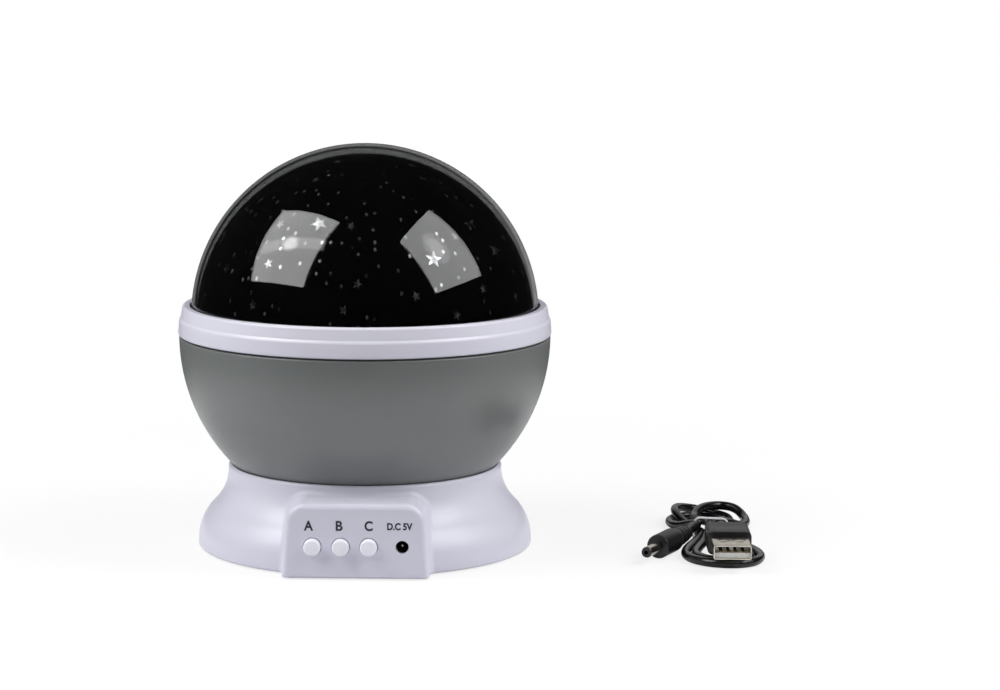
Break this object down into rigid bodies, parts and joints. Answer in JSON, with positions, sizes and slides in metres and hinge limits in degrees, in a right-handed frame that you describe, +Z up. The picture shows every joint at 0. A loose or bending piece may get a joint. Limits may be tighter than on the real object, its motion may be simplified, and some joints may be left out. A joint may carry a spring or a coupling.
{
  "type": "star projector night light",
  "caption": "Rotating star projector: clear dome over a printed star film on a bowl that turns on a flared base, with push buttons, a power socket and a plug-in USB lead.",
  "frame": {"origin": "on the floor under the middle of the base", "axes": "+Z up along the axis that the ball turns on, -Y out of the button panel, +X to the right of someone facing the panel"},
  "size_m": [0.1914, 0.122, 0.1324],
  "materials": {
    "white_abs": "glossy moulded ABS, faintly lavender white",
    "grey_abs": "satin moulded ABS, neutral grey",
    "clear_acrylic": "clear injection-moulded polystyrene, polished",
    "printed_film": "black film with clear stars and dots",
    "black_plastic": "moulded black",
    "lamp_plastic": "natural white moulded",
    "gear_acetal": "natural acetal",
    "circuit_board": "green solder mask",
    "led_epoxy": "clear cast epoxy",
    "zinc_steel": "zinc plated",
    "nickel_contact": "nickel plated",
    "gold_contact": "gold plated",
    "foot_rubber": "soft moulded",
    "cord_pvc": "soft black PVC",
    "wire_pvc": "thin PVC insulation",
    "white_tie": "plastic-coated wire",
    "white_insulator": "moulded white"
  },
  "bodies": {
    "base": {"base_housing": "white_abs", "base_plate": "white_abs", "rubber_feet": "foot_rubber", "base_screws": "zinc_steel", "battery_tray": "white_abs", "battery_contacts": "nickel_contact", "control_board": "circuit_board", "switch_bodies": "black_plastic", "dc_socket_body": "black_plastic", "dc_socket_pin": "nickel_contact", "gearbox_case": "lamp_plastic", "motor_can": "zinc_steel", "motor_screws": "zinc_steel", "column": "lamp_plastic", "column_screws": "zinc_steel", "thrust_washer": "lamp_plastic", "retaining_clip": "zinc_steel", "lamp_holder": "lamp_plastic", "lamp_board": "circuit_board", "lamp_leds": "led_epoxy", "lamp_screws": "zinc_steel", "lamp_wires": "wire_pvc", "motor_wires": "wire_pvc", "battery_wires": "wire_pvc", "lead_hank": "cord_pvc", "lead_tail_dc": "cord_pvc", "lead_tail_usb": "cord_pvc", "lead_tie": "white_tie", "dc_plug_grip": "cord_pvc", "dc_plug_barrel": "nickel_contact", "dc_plug_tip": "black_plastic", "usb_plug_grip": "cord_pvc", "usb_plug_shell": "nickel_contact", "usb_plug_tongue": "white_insulator", "usb_plug_contacts": "gold_contact"},
    "ball": {"bowl": "grey_abs", "hub_gear": "gear_acetal", "gear_screws": "zinc_steel"},
    "cover": {"trim_ring": "white_abs", "clear_dome": "clear_acrylic", "star_film": "printed_film", "dome_retainer": "black_plastic"},
    "pinion_shaft": {"motor_shaft": "zinc_steel", "motor_pinion": "gear_acetal"},
    "first_button": {"button_a": "white_abs", "plunger_a": "gear_acetal"},
    "second_button": {"button_b": "white_abs", "plunger_b": "gear_acetal"},
    "third_button": {"button_c": "white_abs", "plunger_c": "gear_acetal"},
    "door": {"battery_door": "white_abs"}
  },
  "joints": [
    {"name": "ball_spin", "type": "hinge", "parent": "base", "child": "ball", "pos_m": [0, 0, 0.023], "axis": [0, 0, 1], "continuous": true},
    {"name": "pinion_spin", "type": "hinge", "parent": "base", "child": "pinion_shaft", "pos_m": [0, 0.024, 0.02], "axis": [0, 0, 1], "continuous": true},
    {"name": "cover_lift", "type": "slide", "parent": "ball", "child": "cover", "axis": [0, 0, 1], "range_m": [0, 0.075]},
    {"name": "button_a_press", "type": "slide", "parent": "base", "child": "first_button", "axis": [0, 1, 0], "range_m": [0, 0.0006], "stiffness_N_per_m": 1500},
    {"name": "button_b_press", "type": "slide", "parent": "base", "child": "second_button", "axis": [0, 1, 0], "range_m": [0, 0.0006], "stiffness_N_per_m": 1500},
    {"name": "button_c_press", "type": "slide", "parent": "base", "child": "third_button", "axis": [0, 1, 0], "range_m": [0, 0.0006], "stiffness_N_per_m": 1500},
    {"name": "battery_door_drop", "type": "slide", "parent": "base", "child": "door", "axis": [0, 0, -1], "range_m": [0, 0.02]}
  ],
  "couplings": [
    {"joint": "pinion_spin", "follows": "ball_spin", "ratio": -3}
  ]
}
